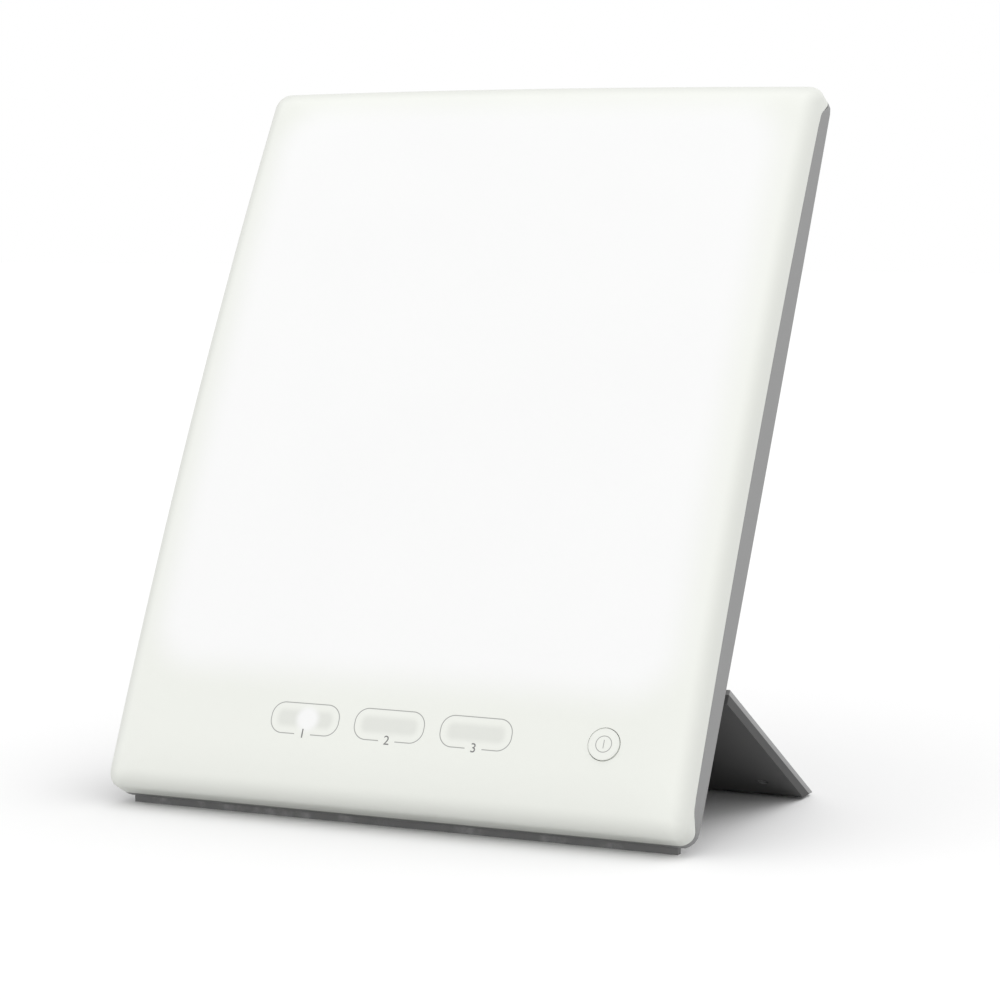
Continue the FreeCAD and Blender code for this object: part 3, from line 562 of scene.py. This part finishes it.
def circuit(name, mask, track):
    """Board with a solder mask: tracks that show through it as straight, slightly raised lines
    in two directions, and a fine weave of the core."""

    def paint(tree):
        vector, x, height = panel_coordinates(tree)
        lanes = 420.0
        wander = (noise(tree, vector, 60.0, 1.0) * 4.0).nearest() / 4.0 * 0.004
        beside = (x + wander) * lanes
        along = (height + wander) * lanes
        across = abs(beside - beside.nearest())
        up = abs(along - along.nearest())
        patch = noise(tree, vector, 70.0, 0.0).over(0.5)
        line = (across * patch + up * (1 - patch)).step(0.3, 0.38)
        weave = noise(tree, vector, 2400.0, 1.0)
        return {
            "Base Color": blend_colours(tree, line, mask, track),
            "Roughness": weave * 0.1 + 0.28,
            "Normal": bump(tree, line * 0.8 + weave * 0.2, 0.4, 0.00004),
        }

    return finish(name, {"Coat Weight": 0.3, "Coat Roughness": 0.15}, paint)


def opal_shell():
    """Opal front: satin white that glows over the lit area, with the windows printed on it."""
    look = settings("light")
    print_ = settings("window")
    panel = settings("panel")

    def paint(tree):
        vector, x, height = panel_coordinates(tree)
        fine = noise(tree, vector, 2600.0, 2.0)
        cloud = noise(tree, vector, 14.0, 3.0, 0.55)
        middle = (look.low + look.high) / 2
        away = round_box(x, height - middle, look.half_width, (look.high - look.low) / 2, look.fade)
        lit = 1 - away.step(-look.fade / 2, look.fade / 2)
        column = (x / print_.pitch).nearest().least(1.0).most(-1.0)
        local = x - column * print_.pitch
        above = height - panel.control_height
        edge = round_box(local, above, print_.width / 2, print_.height / 2, print_.corner)
        outline = 1 - abs(edge).step(print_.line * 0.35, print_.line * 0.9)
        opening = (1 - (abs(local) - print_.gap / 2).over(0.0)) * (1 - above.over(0.0))
        ink = outline * (1 - opening)
        pane = 1 - (edge + print_.corner * 0.62).step(-0.0012, 0.0022)
        spot_x = x + print_.pitch - print_.spot_side
        spot = (spot_x * spot_x + above * above).root()
        beam = 1 - spot.step(print_.spot * 0.55, print_.spot * 1.25)
        duller, darker = ([c * share for c in look.shell] for share in (0.985, 0.88))
        plain = blend_colours(tree, (fine * 0.4 + cloud * 0.6).step(0.3, 0.7), look.shell, duller)
        paned = blend_colours(tree, pane * (1 - beam), plain, darker)
        printed = blend_colours(tree, ink * 0.75, paned, print_.ink)
        rim = round_box(x, height - panel.height / 2, panel.width / 2, panel.height / 2, panel.corner)
        shaded = blend_colours(tree, rim.step(-look.shade_width, 0.0005) * look.shade, printed, BLACK)
        # painted shade: the seam rows are darkened to the seam colour for the shadow in the thin gap
        # between the covers
        seam = add(tree, "ShaderNodeAttribute", {"attribute_name": "seam"}, {})[2]
        base = blend_colours(tree, seam, shaded, look.seam)
        glow = blend_colours(tree, lit + beam * 0.9, BLACK, look.glow)
        return {
            "Base Color": base,
            "Roughness": fine * 0.08 + cloud * 0.06 + 0.36,
            "Emission Color": glow,
            "Normal": bump(tree, fine, 0.22, 0.00002),
        }

    return finish("opal_shell", {"Emission Strength": 1.0, "Specular IOR Level": 0.35}, paint)


def button_cap():
    """White button cap with the ring and upright stroke of an on and off sign printed on it."""
    panel = settings("panel")

    def paint(tree):
        vector, x, height = panel_coordinates(tree)
        across = x - BUTTON_X
        above = height - panel.control_height
        away = (across * across + above * above).root()
        line = (0.00010, 0.00026)
        ring_radius = 0.0034
        ring = 1 - abs(away - ring_radius).step(*line)
        stroke = (1 - abs(across).step(*line)) * (1 - abs(above).step(0.0017, 0.0019))
        fine = noise(tree, vector, 2600.0, 2.0)
        shell = settings("light").shell
        plain = blend_colours(tree, fine, shell, [c * 0.97 for c in shell])
        # the cap's outer rim is blended a tenth of the way towards mid grey
        rim = away.step(0.0058, panel.button)
        greyed_rim = blend_colours(tree, rim * 0.10, plain, (0.5, 0.5, 0.5))
        return {
            "Base Color": blend_colours(tree, ring.most(stroke) * 0.72, greyed_rim, settings("window").ink),
            "Roughness": fine * 0.08 + 0.38,
            "Normal": bump(tree, fine, 0.22, 0.00002),
        }

    return finish("button_cap", {"Specular IOR Level": 0.35}, paint)


def blank_label():
    """Blank silver label: a fine frame line and a paper-like tooth."""

    def paint(tree):
        vector, x, height = panel_coordinates(tree)
        middle_x, middle_height = 0.048, 0.036
        edge = round_box(x - middle_x, height - middle_height, 0.0285, 0.0125, 0.001)
        line = 1 - abs(edge).step(0.0001, 0.0003)
        tooth = noise(tree, vector, 1800.0, 3.0)
        plain = blend_colours(tree, tooth, (0.62, 0.62, 0.63), (0.70, 0.70, 0.71))
        return {
            "Base Color": blend_colours(tree, line * 0.7, plain, (0.1, 0.1, 0.1)),
            "Roughness": tooth * 0.15 + 0.35,
            "Normal": bump(tree, tooth, 0.3, 0.00002),
        }

    return finish("rating_label", {"Metallic": 0.3}, paint)


def give(material, *names):
    """Puts a material on carried-over nodes of the solid model."""
    for name in names:
        for slot in frame["nodes"][name].material_slots:
            slot.material = material


def post(x, height, radius=0.0034, bore=0.0015, grip=0.006):
    """Rows of a screw post with a blind bore, from inside the front wall to where it meets the
    rear post."""
    p = settings("panel")
    angle = np.linspace(0, 2 * math.pi, 24)
    foot = front_depth(x + radius * np.cos(angle), height + radius * np.sin(angle))
    start = float(np.max(foot)) + 0.0003
    end = max(float(seam_depth(np.array(height))) + 0.003, p.drop + p.arch)
    outside = [(0.0, start), (radius, start), (radius, end)]
    inside = [(bore, end), (bore, end - grip), (0.0, end - grip)]
    return turned(outside + inside, x, height, 32)


def button_hole(height, reach=(-0.005, 0.012)):
    """Rows of the round form that is cut out of the front for the button."""
    p = settings("panel")
    radius = p.button + p.hole_gap
    profile = [(0.0, reach[0]), (radius, reach[0]), (radius, reach[1]), (0.0, reach[1])]
    return turned(profile, BUTTON_X, height, 96)


def guide_ring(height):
    """Rows of the ring behind the front that guides the button."""
    p = settings("panel")
    face = float(front_depth(BUTTON_X, height))
    inner = p.button + p.hole_gap
    outer = inner + p.guide_wall
    start = face + p.guide_wall
    end = face + p.guide_end
    return turned([(inner, start), (outer, start), (outer, end), (inner, end)], BUTTON_X, height, 96)


class LAMP_OT_front(bpy.types.Operator):
    """Opal front shell with its screw posts and the button's guide ring"""

    bl_idname = "lamp.front"
    bl_label = "Front shell"

    def execute(self, context):
        p = settings("panel")
        rows, seam_shade_rows = front_shell_rows()
        mesh = make_mesh("front_shell", [joined(to_row(rows))])
        around = rows.shape[1]
        # painted shade: per-point mask of the seam rows, kept as the seam attribute that the shell's
        # material darkens
        seam = np.concatenate([seam_shade_rows[:1], np.repeat(seam_shade_rows[1:-1], around), seam_shade_rows[-1:]])
        mesh.attributes.new("seam", "FLOAT", "POINT").data.foreach_set("value", seam)
        shell = add_object("front_shell", mesh)
        cut_away(shell, to_row(button_hole(p.control_height)))
        parts = [joined(to_row(guide_ring(p.control_height)), ends=False)]
        across = p.width / 2 - p.post_side
        for height in (p.post_inset, p.height / 2, p.height - p.post_inset):
            for side in (-1, 1):
                parts.append(joined(to_row(post(side * across, height))))
        body = shell.data
        extra = make_mesh("posts", parts)
        work = bmesh.new()
        work.from_mesh(body)
        work.from_mesh(extra)
        work.to_mesh(body)
        work.free()
        body.shade_smooth()
        body.set_sharp_from_angle(angle=math.radians(SHARP))
        body.materials.clear()
        body.materials.append(opal_shell())
        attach(shell, "lamp")
        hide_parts("front_cover")
        return {"FINISHED"}


class LAMP_OT_marks(bpy.types.Operator):
    """Numbers printed at the windows"""

    bl_idname = "lamp.marks"
    bl_label = "Window numbers"

    def execute(self, context):
        p = settings("panel")
        look = settings("window")
        ink = moulded("printed_ink", look.ink, 0.55, 3000.0, 0.00001, 0.12)
        film = 0.00002
        for count in (1, 2, 3):
            text = bpy.data.curves.new("number", "FONT")
            text.body = str(count)
            text.size = look.number * 1.4
            text.align_x = "CENTER"
            text.align_y = "CENTER"
            text.extrude = film
            text.resolution_u = 6
            holder = add_object("number", text)
            graph = bpy.context.evaluated_depsgraph_get()
            mesh = bpy.data.meshes.new_from_object(holder.evaluated_get(graph))
            bpy.data.objects.remove(holder)
            flat = np.empty(len(mesh.vertices) * 3)
            mesh.vertices.foreach_get("co", flat)
            flat = flat.reshape(-1, 3)
            x = flat[:, 0] + (count - 2) * look.pitch
            height = flat[:, 1] + p.control_height - look.height / 2 + 0.0002
            depth = front_depth(x, height) - film - flat[:, 2]
            mesh.vertices.foreach_set("co", to_row(np.stack([x, depth, height], -1)).ravel())
            mesh.update()
            mark = add_object("window_number_%d" % count, mesh, ink)
            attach(mark, "lamp")
        return {"FINISHED"}


class LAMP_OT_button(bpy.types.Operator):
    """Push button with its printed sign, and the plunger under it"""

    bl_idname = "lamp.button"
    bl_label = "Push button"

    def execute(self, context):
        give(button_cap(), "power_button")
        give(moulded("plunger_plastic", (0.03, 0.03, 0.03), 0.45), "switch_plunger")
        return {"FINISHED"}


class LAMP_OT_back(bpy.types.Operator):
    """Grey rear cover with its inlet, screws, label, bumpers and foot"""

    bl_idname = "lamp.back"
    bl_label = "Back"

    def execute(self, context):
        look = settings("back")
        give(moulded("rear_plastic", look.back, 0.5, 1500.0, 0.00009, 0.05), "rear_cover")
        give(moulded("inlet_plastic", (0.02, 0.02, 0.02), 0.35), "power_inlet")
        give(drawn_metal("contact_metal", (0.72, 0.60, 0.36)), "inlet_pin")
        give(drawn_metal("nut_metal", (0.55, 0.55, 0.56), 0.35), "inlet_nut")
        give(drawn_metal("screw_metal", (0.52, 0.52, 0.53), 0.32), "case_screws")
        # partly painted shade: the rubber grey lets the foot strip look like the shade under the lower edge
        give(rubbery("foot_rubber", look.rubber), "foot_strip", "back_bumpers")
        give(blank_label(), "rating_label")
        return {"FINISHED"}


class LAMP_OT_stand(bpy.types.Operator):
    """Fold-out stand with its hinge"""

    bl_idname = "lamp.stand"
    bl_label = "Stand"

    def execute(self, context):
        look = settings("back")
        give(moulded("stand_skin", look.skin, 0.5, 1500.0, 0.00009, 0.05), "stand_plate")
        # painted shade: the tray's dark colour and its darker left and right faces stand for the shade on
        # the stand's underside
        give(moulded("stand_tray", look.tray, 0.55, 1500.0, 0.00009, 0.06, 0.6), "stand_cover")
        give(rubbery("stand_rubber", look.rubber), "stand_foot")
        pins = drawn_metal("hinge_metal", (0.56, 0.56, 0.57), 0.28, (0.06, 1.0, 1.0))
        give(pins, "hinge_pin_left", "hinge_pin_right", "hinge_washers", "stand_screws")
        return {"FINISHED"}


class LAMP_OT_inside(bpy.types.Operator):
    """Light unit, boards and wires inside the panel"""

    bl_idname = "lamp.inside"
    bl_label = "Inside"

    def execute(self, context):
        give(circuit("lamp_board", (0.80, 0.80, 0.78), (0.70, 0.70, 0.69)), "led_board")
        green = circuit("green_board", (0.03, 0.16, 0.07), (0.06, 0.25, 0.11))
        give(green, "control_board", "driver_board")
        give(moulded("lamp_package", (0.90, 0.82, 0.45), 0.3, 4000.0, 0.00001), "leds")
        give(moulded("tray_plastic", (0.88, 0.88, 0.88), 0.5), "light_frame")
        give(moulded("diffuser_sheet", (0.90, 0.90, 0.90), 0.4, 3000.0, 0.00002, 0.02), "diffuser_sheet")
        black = moulded("chip_plastic", (0.025, 0.025, 0.027), 0.5)
        give(black, "driver_chips", "switch_body", "driver_coil")
        give(drawn_metal("can_metal", (0.6, 0.6, 0.62), 0.3), "driver_capacitors")
        give(drawn_metal("board_screw_metal", (0.55, 0.55, 0.56), 0.32), "board_screws")
        give(moulded("lead_skin", (0.45, 0.03, 0.025), 0.45, 2500.0, 0.00002), "led_leads", "board_leads")
        pale = moulded("indicator_package", (0.85, 0.90, 0.92), 0.2, 4000.0, 0.00001, 0.03)
        give(pale, "indicator_lamps")
        clear = moulded("guide_acrylic", (0.95, 0.96, 0.97), 0.22, 2000.0, 0.00001, 0.02,
                        **{"Transmission Weight": 0.85, "IOR": 1.49})
        give(clear, "indicator_guides")
        return {"FINISHED"}


def eye_sees(tree):
    """1 for rays that carry a picture: from the eye, off gloss or through glass."""
    path = add(tree, "ShaderNodeLightPath", {}, {})
    return path[0].most(path[3]).most(path[6])


def lay_floor(look):
    """Plain pale floor, a little brighter to the eye than to the light."""
    half = look.floor_half
    corners = [(-half, -half, 0), (half, -half, 0), (half, half, 0), (-half, half, 0)]
    mesh = bpy.data.meshes.new("floor")
    mesh.from_pydata(corners, [], [(0, 1, 2, 3)])
    material = bpy.data.materials.new("studio_floor")
    material.use_nodes = True
    tree = material.node_tree
    tree.nodes.clear()
    tone = (look.floor_tone,) * 3
    bright = (look.floor_tone * look.floor_gain,) * 3
    colour = blend_colours(tree, eye_sees(tree), tone, bright)
    matt = add(tree, "ShaderNodeBsdfDiffuse", {}, {0: colour})[0]
    add(tree, "ShaderNodeOutputMaterial", {}, {0: matt})
    add_object("floor", mesh, material)


def light_studio(look):
    """Even light from all round, white to the eye, and one wide soft lamp overhead."""
    scene = bpy.context.scene
    world = bpy.data.worlds.new("studio")
    scene.world = world
    world.use_nodes = True
    tree = world.node_tree
    tree.nodes.clear()
    colour = blend_colours(tree, eye_sees(tree), (look.sky,) * 3, WHITE)
    ground = add(tree, "ShaderNodeBackground", {}, {0: colour})[0]
    add(tree, "ShaderNodeOutputWorld", {}, {0: ground})
    lamp = bpy.data.lights.new("soft_lamp", "SUN")
    lamp.angle = look.spread
    lamp.energy = look.key
    holder = bpy.data.objects.new("soft_lamp", lamp)
    holder.rotation_euler = Vector(look.lamp_from).to_track_quat("Z", "Y").to_euler()
    scene.collection.objects.link(holder)


def place_camera(look):
    """Camera at the given distance from its target, turned by the azimuth and raised by the
    elevation."""
    scene = bpy.context.scene
    turn = math.radians(look.azimuth)
    rise = math.radians(look.elevation)
    level = math.cos(rise)
    away = Vector((math.sin(turn) * level, -math.cos(turn) * level, math.sin(rise)))
    right = Vector((math.cos(turn), math.sin(turn), 0))
    target = right * look.aim_side + Vector((0, EDGE_Y, EDGE_Z + look.aim_height))
    data = bpy.data.cameras.new("camera")
    data.sensor_width = 36.0
    data.lens = look.lens
    camera = bpy.data.objects.new("camera", data)
    matrix = Matrix((right, away.cross(right), away)).transposed().to_4x4()
    matrix.translation = target + away * look.distance
    camera.matrix_world = matrix
    scene.collection.objects.link(camera)
    scene.camera = camera


class LAMP_OT_stage(bpy.types.Operator):
    """Floor, light and camera"""

    bl_idname = "lamp.stage"
    bl_label = "Stage"

    def execute(self, context):
        look = settings("stage")
        lay_floor(look)
        light_studio(look)
        place_camera(look)
        context.scene.view_settings.view_transform = "Standard"
        return {"FINISHED"}


OPERATORS = (LAMP_OT_front, LAMP_OT_marks, LAMP_OT_button, LAMP_OT_back, LAMP_OT_stand, LAMP_OT_inside,
             LAMP_OT_stage)
GROUPS = {"panel": PanelShape, "light": LightLook, "window": WindowLook, "back": BackLook,
          "stage": StageLook}


class LAMP_PT_panel(bpy.types.Panel):
    """Lists the lamp's sizes and the operators that build its pieces"""

    bl_label = "Light therapy lamp"
    bl_idname = "LAMP_PT_panel"
    bl_space_type = "VIEW_3D"
    bl_region_type = "UI"
    bl_category = "Lamp"

    def draw(self, context):
        for name, group in GROUPS.items():
            box = self.layout.box()
            box.label(text=name.capitalize())
            for field in group.__annotations__:
                box.prop(settings(name), field)
        for operator in OPERATORS:
            self.layout.operator(operator.bl_idname)


def register():
    for kind in (*GROUPS.values(), *OPERATORS, LAMP_PT_panel):
        bpy.utils.register_class(kind)
    for name, group in GROUPS.items():
        setattr(bpy.types.Scene, "lamp_" + name, PointerProperty(type=group))


def unregister():
    for name in GROUPS:
        delattr(bpy.types.Scene, "lamp_" + name)
    for kind in reversed((*GROUPS.values(), *OPERATORS, LAMP_PT_panel)):
        bpy.utils.unregister_class(kind)


def main():
    register()
    for operator in OPERATORS:
        group, name = operator.bl_idname.split(".")
        getattr(getattr(bpy.ops, group), name)()


if __name__ == "__main__":
    main()
